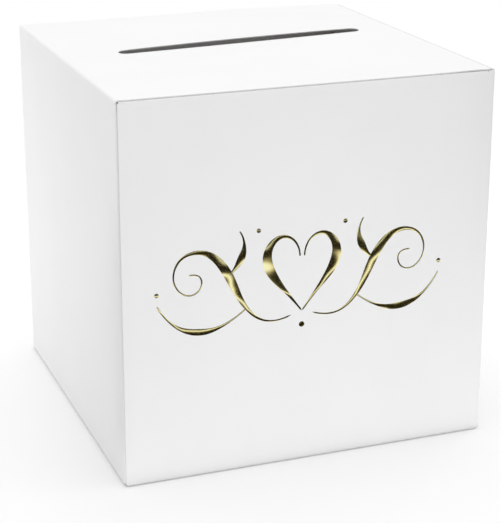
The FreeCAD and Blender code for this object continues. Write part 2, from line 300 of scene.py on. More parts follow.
def make_piece(name, points, faces, kinds, materials, crisp=35):
    """A mesh object from points (n, 3), quads (m, 4) and a material index for each quad. Edges sharper than
    `crisp` degrees stay crisp."""
    mesh = bpy.data.meshes.new(name)
    mesh.vertices.add(len(points))
    mesh.vertices.foreach_set("co", np.ascontiguousarray(points, np.float32).ravel())
    mesh.loops.add(faces.size)
    mesh.loops.foreach_set("vertex_index", np.ascontiguousarray(faces, np.int32).ravel())
    mesh.polygons.add(len(faces))
    mesh.polygons.foreach_set("loop_start", np.arange(0, faces.size, 4, dtype=np.int32))
    mesh.polygons.foreach_set("material_index", np.ascontiguousarray(kinds, np.int32))
    for material in materials:
        mesh.materials.append(material)
    mesh.update(calc_edges=True)
    mesh.validate()
    mesh.shade_smooth()
    mesh.set_sharp_from_angle(angle=math.radians(crisp))
    piece = bpy.data.objects.new(name, mesh)
    bpy.context.scene.collection.objects.link(piece)
    return piece


def flipped_if_inside_out(points, faces):
    """The same quads, turned over if the volume that they enclose comes out negative."""
    a, b, c, d = (points[faces[:, i]] for i in range(4))
    volume = sum(np.einsum("ij,ij->i", a, np.cross(p, q)).sum() for p, q in ((b, c), (c, d)))
    return faces if volume > 0 else faces[:, ::-1]


def rounded(distance, radius):
    """How far a face drops at a distance from a rounded rim: a quarter circle of that radius."""
    inside = np.clip(radius - distance, 0, radius)
    return radius - np.sqrt(radius ** 2 - inside ** 2)


def fade(distance, reach):
    """1 at no distance, falling to 0 at that reach, level at both ends: one minus smoothstep."""
    share = np.clip(distance / reach, 0, 1)
    return (1 - share) ** 2 * (1 + 2 * share)


def swell(u):
    """A smooth hump over 0 to 1, level and flat at both ends: sine squared."""
    return np.sin(np.pi * np.clip(u, 0, 1)) ** 2


def arc(centre, first, last, count):
    """Points at even angles about a centre, from one point to another at the same distance from it."""
    p, q = first - centre, last - centre
    sweep = math.acos(float(p @ q) / float(p @ p))
    turn = np.linspace(0, 1, count)
    blend = np.outer(np.sin((1 - turn) * sweep), p) + np.outer(np.sin(turn * sweep), q)
    return centre + blend / math.sin(sweep)


def outline(corners):
    """Points (place along a corner line, depth away from it) through the corners of a board's free edge, in
    millimetres, with an arc in place of each corner that has a radius as its third value."""
    points = [np.array(c[:2]) * MM for c in corners]
    runs = []
    for i, entry in enumerate(corners):
        if len(entry) < 3:
            runs.append(points[i][None])
            continue
        before, after = points[i - 1] - points[i], points[i + 1] - points[i]
        before, after = before / np.linalg.norm(before), after / np.linalg.norm(after)
        half = math.acos(float(before @ after)) / 2
        radius = entry[2] * MM
        centre = points[i] + (before + after) / np.linalg.norm(before + after) * radius / math.sin(half)
        reach = radius / math.tan(half)
        runs.append(arc(centre, points[i] + before * reach, points[i] + after * reach, 9))
    return np.concatenate(runs).T


RIM = np.array([0.1, 0.3, 0.6, 1.0])     # stations on a rounded rim, as shares of its radius
STEP = 8 * MM            # usual distance between stations
SLIVER = 0.3 * MM        # the least depth that a board tapers to
CUT = 0.01 * MM          # run of a cut that is all but square to its corner line


def spread(low, high, step, soft_low=False, soft_high=False, radius=0.0, stops=()):
    """Stations from low to high about a step apart, with four close to each end that has a rounded rim, and
    one at each stop."""
    stations = np.linspace(low, high, max(2, math.ceil((high - low) / step) + 1))
    clear = np.array([all(abs(s - stop) > step / 4 for stop in stops) for s in stations])
    extra = [stations[clear], [low, high], stops]
    if soft_low:
        extra.append(low + radius * RIM)
    if soft_high:
        extra.append(high - radius * RIM)
    return np.unique(np.concatenate(extra))


def closed_shell(loops, half, joined=False):
    """Points, outward quads and the kind of each quad, for loops of points (n, m, 3) carried along a path:
    the first `half` points of a loop lie on the outer face (kind 0), the others on the inner face (kind 1),
    and the two are joined by cut edges (kind 2). The ends are capped, unless they are joined."""
    rows, columns = loops.shape[:2]
    faces = grid(rows + joined, columns, closed=True) % (rows * columns)
    column = np.tile(np.arange(columns), rows - 1 + joined)
    kinds = np.where(column < half - 1, 0, np.where((column >= half) & (column < columns - 1), 1, 2))
    if not joined:
        j = np.arange(half - 1)
        cap = np.stack([j, columns - 1 - j, columns - 2 - j, j + 1], axis=-1)
        faces = np.concatenate([faces, cap, cap[:, ::-1] + (rows - 1) * columns])
        kinds = np.concatenate([kinds, np.full(2 * len(cap), 2)])
    points = loops.reshape(-1, 3)
    return points, flipped_if_inside_out(points, faces), kinds


def board_piece(node, suffix, shell, body=None):
    """A piece of board that stands for a CAD node."""
    faces = [finish(clay_coated_board), finish(uncoated_board), finish(die_cut_board_core)]
    piece = make_piece(f"{node}_{suffix}", *shell, faces)
    if body:
        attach(piece, body)
    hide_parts(node)
    return piece


class Board:
    """A flat board beside a corner line: its point, the line's direction, the way away from it, and out."""

    def __init__(self, point, along, away, out):
        self.point, self.along, self.away, self.out = point, along, away, out

    def build(self, node, body, free_edge, start, step=STEP, bow=0.0, soft=(True, True, True), shift=None):
        """The board as a closed shell. Its face is the grid of points at `a` along the line and
        b = start + v (depth(a) - start) away from it, v from 0 to 1, where the free edge gives the depth;
        both faces bow out by a sine-squared hump, or move as `shift` says for a and b, and drop to a rounded
        rim at each soft edge (low, high, far)."""
        radius = settings()[0].edge_round
        places, depths = free_edge
        low, high = places[0], places[-1]
        a = spread(low, high, step, soft[0], soft[1], radius, places)
        reach = np.maximum(np.interp(a, places, depths) - start, SLIVER)
        v = spread(0, 1, step / np.max(reach), False, soft[2], radius / np.max(reach))
        b = start + np.outer(reach, v)
        edges = [np.full_like(b, radius)]
        if soft[0]:
            edges.append(np.broadcast_to((a - low)[:, None], b.shape))
        if soft[1]:
            edges.append(np.broadcast_to((high - a)[:, None], b.shape))
        if soft[2]:
            edges.append(np.outer(reach, 1 - v))
        drop = rounded(np.min(edges, axis=0), radius)
        flat = self.point + a[:, None, None] * self.along + b[..., None] * self.away
        if shift:
            bent = flat + shift(np.broadcast_to(a[:, None], b.shape), b)
        else:
            hump = bow * np.outer(swell((a - low) / (high - low)), swell(v))
            bent = flat + hump[..., None] * self.out
        outer = bent - drop[..., None] * self.out
        inner = bent + (drop - BOARD)[..., None] * self.out
        loops = np.concatenate([outer, inner[:, ::-1]], axis=1)
        return board_piece(node, "board", closed_shell(loops, len(v)), body)


def level(low, high, depth):
    """The free edge of a board that is as deep all along, from low to high."""
    return np.array([[low, high], [depth, depth]])


def setback(one, other, radius=CREASE):
    """How far from the corner line two boards start, so that a strip of that outer radius joins them."""
    return radius / math.tan(math.acos(float(one @ other)) / 2)


def crease_strip(node, point, one, other, along, span, *bodies, radius=CREASE):
    """The rounded strip between two boards: two arcs about one centre, the inner a board's thickness smaller
    in radius, carried along the corner line. Between two bodies it is attached to neither of them; otherwise
    it is attached to its one body."""
    bisector = (one + other) / np.linalg.norm(one + other)
    centre = point + bisector * (radius / math.sin(math.acos(float(one @ other)) / 2))
    back = setback(one, other, radius)
    outer = arc(centre, point + one * back, point + other * back, 17)
    inner = centre + (outer - centre) * (radius - BOARD) / radius
    loop = np.concatenate([outer, inner[::-1]])
    loops = loop + spread(*span, step=6 * MM)[:, None, None] * along
    piece = board_piece(node, "fold", closed_shell(loops, len(outer)))
    if len(bodies) == 2:
        inner[0]
        inner[-1]
        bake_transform(piece)
    else:
        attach(piece, *bodies)
    return piece


UNGLUED = 8 * MM         # width of the margin along the front's free edge that has no glue behind it


def front_margin(x):
    """1 at the front panel's free edge, falling evenly to 0 over the margin that isn't glued."""
    return np.clip(1 - (x - corner("front_panel", 0)[0]) / UNGLUED, 0, 1)


def front_lift(x, z):
    """How far the front stands out: a sine-squared hump, and the free edge's margin that springs off the glue
    flap, by a parabola that fades out below."""
    board = settings()[0]
    low, high = corner("front_panel", 0), corner("front_panel", 1)
    rise = np.clip((z - low[2]) / (high[2] - low[2]), 0, 1)
    hump = swell((x - low[0]) / (high[0] - low[0])) * swell(rise)
    return board.bow * hump + board.spring * front_margin(x) ** 2 * rise


def front_shift(x, z):
    """How the front panel's points move: out by its lift, and in from the left beside its slanted edge."""
    board = settings()[0]
    inset = (board.seam + board.slant * z / TOP_Z) * front_margin(x)
    return inset[..., None] * X - front_lift(x, z)[..., None] * Y


class CARDBOX_OT_walls(bpy.types.Operator):
    """Builds the four walls"""
    bl_idname = "card_box.walls"
    bl_label = "Walls"

    def execute(self, context):
        bow = settings()[0].bow
        gap = 0.3 * MM
        folded, ear = SIDE_TOP - DUST_CREASE, corner("front_dust_crease", 1)[0] + gap
        for name, y, out, shift, raw_side in (
                ("front_panel", FRONT_Y, -Y, front_shift, True), ("back_panel", BACK_Y, Y, None, False)):
            low, high = corner(name, 0), corner(name, 1)
            top = np.array([[low[0], ear, ear + CUT, high[0]], [folded, folded, high[2], high[2]]])
            Board(np.array([0, y, 0]), X, Z, out).build(
                name, "carton", top, low[2], bow=bow, soft=(raw_side, False, False), shift=shift)
        for name, x, out, raw_top in (("left_panel", LEFT_X, -X, False), ("right_panel", RIGHT_X, X, True)):
            low, high = corner(name, 0), corner(name, 1)
            edge = level(low[1], high[1], high[2])
            Board(np.array([x, 0, 0]), Y, Z, out).build(
                name, "carton", edge, low[2], bow=bow, soft=(False, False, raw_top))
        return {"FINISHED"}


class CARDBOX_OT_upright_creases(bpy.types.Operator):
    """Builds the four rounded upright corners"""
    bl_idname = "card_box.upright_creases"
    bl_label = "Upright creases"

    def execute(self, context):
        corners = {
            "front_right_crease": (RIGHT_X, FRONT_Y, -X, Y),
            "back_right_crease": (RIGHT_X, BACK_Y, -X, -Y),
            "back_left_crease": (LEFT_X, BACK_Y, X, -Y),
            "front_left_crease": (LEFT_X, FLAP_Y, X, Y),
        }
        past_hinge = 0.4 * MM
        for name, (x, y, one, other) in corners.items():
            top = corner(name, 1)[2] + (past_hinge if x == LEFT_X else 0)
            crease_strip(name, np.array([x, y, 0]), one, other, Z, (corner(name, 0)[2], top), "carton")
        return {"FINISHED"}


class CARDBOX_OT_glue_seam(bpy.types.Operator):
    """Builds the glue flap behind the front panel's left edge, and the film of glue on it"""
    bl_idname = "card_box.glue_seam"
    bl_label = "Glue seam"

    def execute(self, context):
        low, high = corner("glue_flap", 0) / MM, corner("glue_flap", 1) / MM
        width = high[0] - LEFT_X / MM
        slant = 0.4 * width
        edge = outline([(low[2], 0), (low[2] + slant, width), (high[2] - slant, width), (high[2], 0)])
        Board(np.array([LEFT_X, FLAP_Y, 0]), Z, X, -Y).build("glue_flap", "carton", edge, CREASE)
        self.glue_film()
        return {"FINISHED"}

    def glue_film(self):
        """The film as a closed shell between the two boards, a grid with a wandering edge: its half width
        swells and shrinks by a sum of two sines along the seam."""
        low, high = corner("glue_line", 0), corner("glue_line", 1)
        clearance = 0.01 * MM
        z = np.linspace(low[2], high[2], 81)
        run = (z - low[2]) / (high[2] - low[2])
        half = (high[0] - low[0]) / 2 * (0.88 + 0.07 * np.sin(21 * run) + 0.05 * np.sin(47 * run + 1))
        x = (low[0] + high[0]) / 2 + np.outer(half, np.linspace(-1, 1, 7))
        z = np.broadcast_to(z[:, None], x.shape)
        front = np.stack([x, np.full_like(x, low[1] + clearance), z], axis=-1)
        back = np.stack([x, np.full_like(x, high[1] - clearance), z], axis=-1)
        points, faces, _ = closed_shell(np.concatenate([front, back[:, ::-1]], axis=1), x.shape[1])
        piece = make_piece(
            "glue_line_film", points, faces, np.zeros(len(faces)), [finish(dried_dispersion_glue)])
        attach(piece, "carton")
        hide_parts("glue_line")


class CARDBOX_OT_bottom(bpy.types.Operator):
    """Builds the snap-lock bottom: four flaps, the lock tongue and their creases"""
    bl_idname = "card_box.bottom"
    bl_label = "Snap-lock bottom"

    def execute(self, context):
        self.front_flap()
        self.rear_flap()
        self.side_flaps()
        return {"FINISHED"}

    def front_flap(self):
        """The front flap, narrowing in two steps to its free edge, and the tongue folded up from it."""
        end = corner("bottom_front_flap", 1)[0] / MM
        depth = (corner("bottom_front_flap", 1)[1] - FRONT_Y) / MM
        point = np.array([0, FRONT_Y, 0])
        taper, shoulder, narrow = 5, 70, 70
        edge = outline([(-end, 0), (taper - end, shoulder), (-narrow, depth),
                        (narrow, depth), (end - taper, shoulder), (end, 0)])
        Board(point, X, Y, -Z).build("bottom_front_flap", "carton", edge, BOTTOM_CREASE)
        crease_strip(
            "bottom_front_crease", point, Z, Y, X, (-end * MM, end * MM), "carton", radius=BOTTOM_CREASE)

        lean = math.radians(14)
        away = math.cos(lean) * Y + math.sin(lean) * Z
        out = math.sin(lean) * Y - math.cos(lean) * Z
        half, square = corner("bottom_lock_tongue", 1)[0] / MM, CUT / MM
        reach, radius = 36, 12
        edge = outline([(-half, 0), (square - half, reach, radius),
                        (half - square, reach, radius), (half, 0)])
        line = np.array([0, FRONT_Y + depth * MM, BOARD]) + out * BOARD
        Board(line, X, away, out).build("bottom_lock_tongue", "carton", edge, 0.0, step=STEP / 2)

    def rear_flap(self):
        """The rear flap, leaning up over the side flaps, with the notch that takes the tongue."""
        lean = math.radians(2.5)
        away = -math.cos(lean) * Y + math.sin(lean) * Z
        out = -math.sin(lean) * Y - math.cos(lean) * Z
        point = np.array([0, BACK_Y, 0])
        start = setback(Z, away, BOTTOM_CREASE)
        end, square = corner("bottom_rear_flap", 1)[0] / MM, CUT / MM
        notch, notch_depth, depth, slant = 44, 98, 112, 50
        narrow, shoulder = end - slant, start / MM + slant
        half = [(notch - square, notch_depth, 3), (notch, depth, 2), (narrow - square, depth, 4),
                (narrow, shoulder), (end, start / MM)]
        mirrored = [(-entry[0], *entry[1:]) for entry in half[::-1]]
        Board(point, X, away, out).build("bottom_rear_flap", "carton", outline(mirrored + half), start)
        crease_strip(
            "bottom_rear_crease", point, Z, away, X, (-end * MM, end * MM), "carton", radius=BOTTOM_CREASE)

    def side_flaps(self):
        """The two side flaps, slanted off at 45 degrees towards the back."""
        taper, radius = 10, 6
        for side, name in ((-1, "left"), (1, "right")):
            node = f"bottom_{name}_flap"
            low, high = corner(node, 0) / MM, corner(node, 1) / MM
            depth = high[0] - LEFT_X / MM if side < 0 else RIGHT_X / MM - low[0]
            point = np.array([side * RIGHT_X, 0, SIDE_BOTTOM])
            slanted = high[1] + CREASE / MM - depth
            edge = outline([(low[1], 0), (low[1] + taper, depth, radius), (slanted, depth, radius),
                            (high[1], CREASE / MM)])
            Board(point, Y, -side * X, -Z).build(node, "carton", edge, CREASE)
            crease_strip(
                f"bottom_{name}_crease", point, Z, -side * X, Y, (low[1] * MM, high[1] * MM), "carton")


class CARDBOX_OT_lid(bpy.types.Operator):
    """Builds the lid around its slot, with its hinge crease"""
    bl_idname = "card_box.lid"
    bl_label = "Lid"

    def execute(self, context):
        self.panel()
        end = corner("lid_crease", 1)[1]
        crease_strip("lid_crease", np.array([LEFT_X, 0, TOP_Z]), -Z, X, Y, (-end, end), "carton", "lid",
                     radius=LID_CREASE)
        return {"FINISHED"}

    def loops(self):
        """Two closed loops of points (x, y) that are partners one to one: the slot, an oblong with round
        ends, and the lid's edge, whose corners are slanted off."""
        board = settings()[0]
        radius = board.slot_width / 2
        half = board.slot_length / 2 - radius
        side_count, end_count = 61, 23
        run = np.linspace(-1, 1, side_count)
        turn = np.linspace(-math.pi / 2, math.pi / 2, end_count + 2)[1:-1]
        slot = np.concatenate([
            np.stack([half * run, np.full_like(run, -radius)], axis=1),
            np.stack([half + radius * np.cos(turn), radius * np.sin(turn)], axis=1),
            np.stack([-half * run, np.full_like(run, radius)], axis=1),
            np.stack([-half - radius * np.cos(turn), -radius * np.sin(turn)], axis=1),
        ]) + (board.slot_x, board.slot_y)
        (hinge, front, _), (tuck, back, _) = corner("lid_panel", 0), corner("lid_panel", 1)
        hinge_end, tuck_end = corner("lid_crease", 1)[1], corner("tuck_crease", 1)[1]
        wide, narrowing = hinge + 4 * MM, tuck - 3 * MM
        side = np.linspace(wide, narrowing, side_count)
        edge = np.concatenate([
            np.stack([side, np.full_like(side, front)], axis=1),
            self.end([(narrowing, front), (tuck, -tuck_end), (tuck, tuck_end), (narrowing, back)], end_count),
            np.stack([side[::-1], np.full_like(side, back)], axis=1),
            self.end([(wide, back), (hinge, hinge_end), (hinge, -hinge_end), (wide, front)], end_count),
        ])
        return slot, edge

    def end(self, corners, count):
        """Points along three straight lines through four corners, one of them on each of the inner two."""
        corners = np.array(corners)
        passed = np.concatenate([[0], np.cumsum(np.linalg.norm(np.diff(corners, axis=0), axis=1))])
        stops = np.concatenate([
            [passed[1] / 2], np.linspace(passed[1], passed[2], count - 2), [(passed[2] + passed[3]) / 2]])
        return np.stack([np.interp(stops, passed, corners[:, i]) for i in (0, 1)], axis=1)

    def lift(self, x, y):
        """How far the lid stands up: the sum of four smooth shapes. The slot's rear lip springs up and its
        front lip sags, by a power of the cosine along the slot. A twist grows evenly along the slot, from
        below level to above it. The back dust flap pushes up the rear edge, by a sine-squared hump whose top
        is right of the middle, and the front edge curls up beside the tuck flap by such a hump times a
        parabola. The lips and the twist fade out by smoothstep: the twist before either dust flap and the
        front lip before the front one, because the flaps hold the lid up there."""
        board = settings()[0]
        (hinge, front, _), (tuck, back, _) = corner("lid_panel", 0), corner("lid_panel", 1)
        half, end = board.slot_width / 2, board.slot_length / 2
        front_flap, back_flap = corner("front_dust_flap", 1)[1], corner("back_dust_flap", 0)[1]
        slot_left, slot_right = board.slot_x - end, board.slot_x + end
        slot_front, slot_back = board.slot_y - half, board.slot_y + half
        place = (x - board.slot_x) / end
        beside = np.abs(y - board.slot_y) - half
        rear = y > board.slot_y

        lips = np.where(rear, board.lip_rise * fade(beside, back - slot_back),
                        -board.lip_drop * fade(beside, slot_front - front_flap))
        lips *= np.cos(np.clip(place, -1, 1) * math.pi / 2) ** 0.6
        twist = board.twist * place
        twist *= fade(beside, np.where(rear, back_flap - slot_back, slot_front - front_flap))
        twist *= fade(slot_left - x, slot_left - hinge) * fade(x - slot_right, tuck - slot_right)

        along = np.clip((x - hinge) / (tuck - hinge), 0, 1)
        pushed = board.lift * swell(along ** 1.8) * fade(back - y, back - board.slot_y)
        curl_start, curl_depth = 30 * MM, 60 * MM
        along = np.clip((x - curl_start) / (tuck - curl_start), 0, 1)
        curl = board.curl * swell(along ** 5) * np.clip(1 - (y - front) / curl_depth, 0, 1) ** 2
        return lips + twist + pushed + curl

    def panel(self):
        """The face is the grid of straight lines from each point of the slot to its partner on the edge,
        lifted as `lift` says, with rounded rims."""
        radius = settings()[0].edge_round
        slot, edge = self.loops()
        span = np.linalg.norm(edge - slot, axis=1)[:, None]
        rim = radius * np.concatenate([[0], RIM])
        between = radius + np.linspace(0, 1, 16)[1:-1] * (span - 2 * radius)
        reach = np.concatenate([np.tile(rim, (len(slot), 1)), between, span - rim[::-1]], axis=1)
        flat = slot[:, None] + (edge - slot)[:, None] * (reach / span)[..., None]
        x, y = flat[..., 0], flat[..., 1]
        lift = self.lift(x, y)
        to_side = np.clip(corner("lid_panel", 1)[1] - np.abs(y), 0, None)
        drop = rounded(np.minimum(reach, to_side), radius)
        outer = np.stack([x, y, TOP_Z + lift - drop], axis=-1)
        inner = np.stack([x, y, TOP_Z - BOARD + lift + drop], axis=-1)
        loops = np.concatenate([outer, inner[:, ::-1]], axis=1)
        board_piece("lid_panel", "board", closed_shell(loops, reach.shape[1], joined=True), "lid")


class CARDBOX_OT_tuck_flap(bpy.types.Operator):
    """Builds the flap that tucks in behind the right panel, with its crease"""
    bl_idname = "card_box.tuck_flap"
    bl_label = "Tuck flap"

    def execute(self, context):
        lean = math.radians(6)
        away = -math.sin(lean) * X - math.cos(lean) * Z
        out = math.cos(lean) * X - math.sin(lean) * Z
        point = np.array([TUCK_X, 0, TOP_Z])
        start = setback(-X, away)
        end = corner("tuck_flap", 1)[1] / MM
        taper, depth, radius = 3, 30, 12
        edge = outline([(-end, start / MM), (taper - end, depth, radius), (end - taper, depth, radius),
                        (end, start / MM)])
        Board(point, Y, away, out).build("tuck_flap", "tuck", edge, start, step=5 * MM)
        crease_strip("tuck_crease", point, -X, away, Y, (-end * MM, end * MM), "lid", "tuck")
        return {"FINISHED"}


class CARDBOX_OT_dust_flaps(bpy.types.Operator):
    """Builds the two flaps under the lid, slanted back towards its hinge, with their creases"""
    bl_idname = "card_box.dust_flaps"
    bl_label = "Dust flaps"

    def execute(self, context):
        low, high = corner("front_dust_flap", 0) / MM, corner("front_dust_flap", 1) / MM
        depth = high[1] - FRONT_Y / MM
        slant, taper, radius = 36, 5, 12
        edge = outline([(low[0], DUST_CREASE / MM), (low[0] + slant, depth, radius),
                        (high[0] - taper, depth, radius), (high[0], DUST_CREASE / MM)])
        for side, y, inwards in (("front", FRONT_Y, Y), ("back", BACK_Y, -Y)):
            point, body = np.array([0, y, SIDE_TOP]), f"{side}_dust"
            Board(point, X, inwards, Z).build(f"{side}_dust_flap", body, edge, DUST_CREASE, step=5 * MM)
            crease_strip(
                f"{side}_dust_crease", point, -Z, inwards, X, (low[0] * MM, high[0] * MM), "carton", body,
                radius=DUST_CREASE)
        return {"FINISHED"}


# ---- the foil ----

def smooth_curve(poles, count):
    """Points on the cubic B-spline of those poles with even knots, whose ends are the first and last pole,
    by the Cox-de Boor rule: each basis function blends the two of one degree less."""
    poles = np.array(poles, float)
    inner = np.linspace(0, 1, len(poles) - 2)
    knots = np.concatenate([[0] * 3, inner, [1] * 3])
    t = np.linspace(0, 1 - 1e-9, count)
    basis = [((t >= a) & (t < b)).astype(float) for a, b in zip(knots, knots[1:])]
    for degree in (1, 2, 3):
        lower, basis = basis, []
        for i in range(len(lower) - 1):
            rise, fall = knots[i + degree] - knots[i], knots[i + degree + 1] - knots[i + 1]
            left = (t - knots[i]) / rise * lower[i] if rise else 0
            right = (knots[i + degree + 1] - t) / fall * lower[i + 1] if fall else 0
            basis.append(left + right)
    return np.einsum("it,ij->tj", np.array(basis), poles)


# Strokes of the right half of the ornament, mirrored for the left, in millimetres from its middle: poles of
# the curve, width of the swell, and its middle and spread as fractions of the length.
HEART = (
    [(1.5, 13), (1.5, 19), (7, 27), (17, 27), (24, 17), (21, 3), (9, -10), (0.1, -22)], 6.2, 0.52, 0.24)
SCROLL = ([(7, -24), (22, -30), (38, -17), (45, 4), (58, 24), (78, 23), (84, 6), (74, -6), (62, -1), (64, 10),
           (72, 9)], 5.6, 0.40, 0.17)
FROND = ([(36, -16), (50, -27), (68, -30), (84, -22), (92, -8)], 4.2, 0.50, 0.20)
LEAF = ([(47, 6), (38, 14), (34, 24), (40, 33)], 4.6, 0.42, 0.24)
# The dots' places and radii, in the same way.
DOTS = [(0, -31, 1.8), (28, 32, 1.4), (-28, 32, 1.4), (92, -1, 1.4), (-92, -1, 1.4)]

FOIL_SINK = 0.1 * MM     # how deep a stroke's back lies in the board
FOIL_RIM = 0.03 * MM     # how far its rims stand proud
DOT_DOME = 0.04 * MM     # how far a dot's middle stands over its rim


def on_front(x, z, proud):
    """Points that stand `proud` of the front panel's bowed face."""
    return np.stack([x, FRONT_Y - front_lift(x, z) - proud, z], axis=-1)


def ribbon(side, poles, widest, middle, reach, centre):
    """A stroke of foil as a closed shell: rows across a smooth curve, a hairline wide at the ends and widest
    at its swell, by a bell curve; each row is a parabola crowned in proportion to its width, over a flat back
    sunk in the board."""
    foil = settings()[1]
    path = smooth_curve(poles, 161) * MM * (side, 1) + centre
    step = np.gradient(path, axis=0)
    pace = np.linalg.norm(step, axis=1)
    sideways = np.stack([-step[:, 1], step[:, 0]], axis=1) / pace[:, None]
    run = np.concatenate([[0], np.cumsum(np.linalg.norm(np.diff(path, axis=0), axis=1))])
    tip = np.sqrt(np.clip(np.minimum(run, run[-1] - run) / (foil.hairline / 2), 0.02, 1))
    bell = np.exp(-((run / run[-1] - middle) / reach) ** 2)
    width = (foil.hairline + (widest * MM - foil.hairline) * bell) * tip
    v = np.linspace(-1, 1, 11)
    flat = path[:, None] + sideways[:, None] * np.outer(width / 2, v)[..., None]
    crown = np.outer(foil.crown * width, 1 - v ** 2) + FOIL_RIM
    top = on_front(flat[..., 0], flat[..., 1], crown)
    back = on_front(flat[..., 0], flat[..., 1], -FOIL_SINK)
    points, faces, _ = closed_shell(np.concatenate([top, back[:, ::-1]], axis=1), len(v))
    return points, faces


def dot(x, z, radius, centre):
    """A round spot of foil: a dome whose height falls as the square of the distance from its middle, over a
    short wall and a flat back sunk in the board."""
    share = np.array([0.02, 0.2, 0.4, 0.6, 0.8, 0.93, 1.0, 1.0, 0.02])
    height = DOT_DOME * (1 - share ** 2) + FOIL_RIM
    height[-2:] = -FOIL_SINK
    angle = np.linspace(0, 2 * math.pi, 32, endpoint=False)
    px = centre[0] + x * MM + np.outer(np.cos(angle), share * radius * MM)
    pz = centre[1] + z * MM + np.outer(np.sin(angle), share * radius * MM)
    points, faces, _ = closed_shell(on_front(px, pz, np.broadcast_to(height, px.shape)), 7, joined=True)
    return points, faces


class CARDBOX_OT_foil(bpy.types.Operator):
    """Builds the stamped foil ornament: a heart between two scrolls, and dots"""
    bl_idname = "card_box.foil"
    bl_label = "Foil ornament"

    def execute(self, context):
        middle_x = (corner("foil_left_scroll", 0)[0] + corner("foil_right_scroll", 1)[0]) / 2
        centre = np.array([middle_x, settings()[1].middle_z])
        groups = {
            "foil_heart": [ribbon(side, *HEART, centre) for side in (-1, 1)],
            "foil_left_scroll": [ribbon(-1, *stroke, centre) for stroke in (SCROLL, FROND, LEAF)],
            "foil_right_scroll": [ribbon(1, *stroke, centre) for stroke in (SCROLL, FROND, LEAF)],
            "foil_dots": [dot(*spot, centre) for spot in DOTS],
        }
        for node, parts in groups.items():
            offsets = np.cumsum([0] + [len(points) for points, _ in parts[:-1]])
            points = np.concatenate([points for points, _ in parts])
            faces = np.concatenate([faces + offset for (_, faces), offset in zip(parts, offsets)])
            foil = [finish(hot_stamped_gold_foil)]
            piece = make_piece(f"{node}_stamping", points, faces, np.zeros(len(faces)), foil, crisp=50)
            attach(piece, "carton")
            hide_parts(node)
        return {"FINISHED"}


# ---- the stage ----

class CARDBOX_OT_stage(bpy.types.Operator):
    """Sets up the floor, the room, the cards, the lamps and the camera"""
    bl_idname = "card_box.stage"
    bl_label = "Stage"

    def execute(self, context):
        scene = context.scene
        scene.view_settings.view_transform = "Standard"
        flat_card("floor_paper", [(-6, -6, 0), (6, -6, 0), (6, 6, 0), (-6, 6, 0)], floor_paper)
        self.cards()
        white_room(scene)
        self.lamps()
        aim_camera(scene)
        return {"FINISHED"}

    def cards(self):
        """The card that the foil mirrors, on the floor in front of the box, and two small black flags: one
        beside the front's right edge, and one in line with the front, beside its left edge."""
        reflector = flat_card(
            "foil_reflector",
            [(-0.9, -1.6, 0.001), (1.3, -1.6, 0.001), (1.3, -0.27, 0.001), (-0.9, -0.27, 0.001)],
            reflector_card)
        reflector.visible_diffuse = False
        reflector.visible_shadow = False
        right_flag = flat_card(
            "right_flag",
            [(0.19, -0.125, 0.16), (0.19, -0.21, 0.16), (0.19, -0.21, 0.28), (0.19, -0.125, 0.28)],
            black_card)
        left_flag = flat_card(
            "left_flag",
            [(-0.128, -0.122, 0.02), (-0.136, -0.122, 0.02), (-0.136, -0.122, 0.17), (-0.128, -0.122, 0.17)],
            black_card)
        for flag in (right_flag, left_flag):
            flag.visible_glossy = False
        for card in (reflector, right_flag, left_flag):
            card.visible_camera = False
            card.visible_transmission = False

    def lamps(self):
        """Soft lights beside both rear corners, over the paper in front, in front, and inside the box."""
        stage = settings()[2]
        soft_light("rear_left_softbox", (-0.42, 0.30, 0.05), (LEFT_X, 0.1, 0.07), 0.25, stage.rear_left)
        soft_light("rear_right_softbox", (0.48, 0.12, 0.12), (0.2, 0.05, 0), 0.2, stage.rear_right)
        soft_light(
            "front_bounce", (0.08, -0.463, 0.0006), (0.08, -0.463, 1), 0.48, stage.bounce, depth=0.678)
        soft_light("front_softbox", (0.03, -0.8, 0.24), (-0.02, -0.12, 0.18), 0.3, stage.front)
        soft_light("light_through_board", (0, 0, 0.234), (0, 0, 0), 0.2, stage.inside)


def flat_card(name, corners, build):
    """A flat four-cornered card, made as a plain mesh piece in the scene."""
    card = make_piece(name, np.array(corners, float), np.array([[0, 1, 2, 3]]), np.zeros(1), [finish(build)])
    return card


def seen_directly(tree):
    """A factor that is 1 for camera, glossy and transmission rays, and 0 for the light on surfaces."""
    path = add_node(tree, "ShaderNodeLightPath")
    either = add_node(
        tree, "ShaderNodeMath", {0: path.outputs["Is Camera Ray"], 1: path.outputs["Is Glossy Ray"]},
        operation="MAXIMUM")
    return add_node(
        tree, "ShaderNodeMath", {0: either.outputs["Value"], 1: path.outputs["Is Transmission Ray"]},
        operation="MAXIMUM").outputs["Value"]


def floor_paper(tree, place):
    """White paper on the floor: it lights the box as white paper does, and it shows as plain white that keeps
    a share of the box's shadow."""
    stage = settings()[2]
    lighting = add_node(tree, "ShaderNodeBsdfDiffuse", Color=stage.paper)
    shaded = add_node(tree, "ShaderNodeBsdfDiffuse", Color=stage.shade)
    white = add_node(tree, "ShaderNodeEmission", Strength=stage.glow)
    shown = add_node(tree, "ShaderNodeAddShader", {0: shaded.outputs["BSDF"], 1: white.outputs["Emission"]})
    both = add_node(
        tree, "ShaderNodeMixShader",
        {"Fac": seen_directly(tree), 1: lighting.outputs["BSDF"], 2: shown.outputs["Shader"]})
    return both.outputs["Shader"]


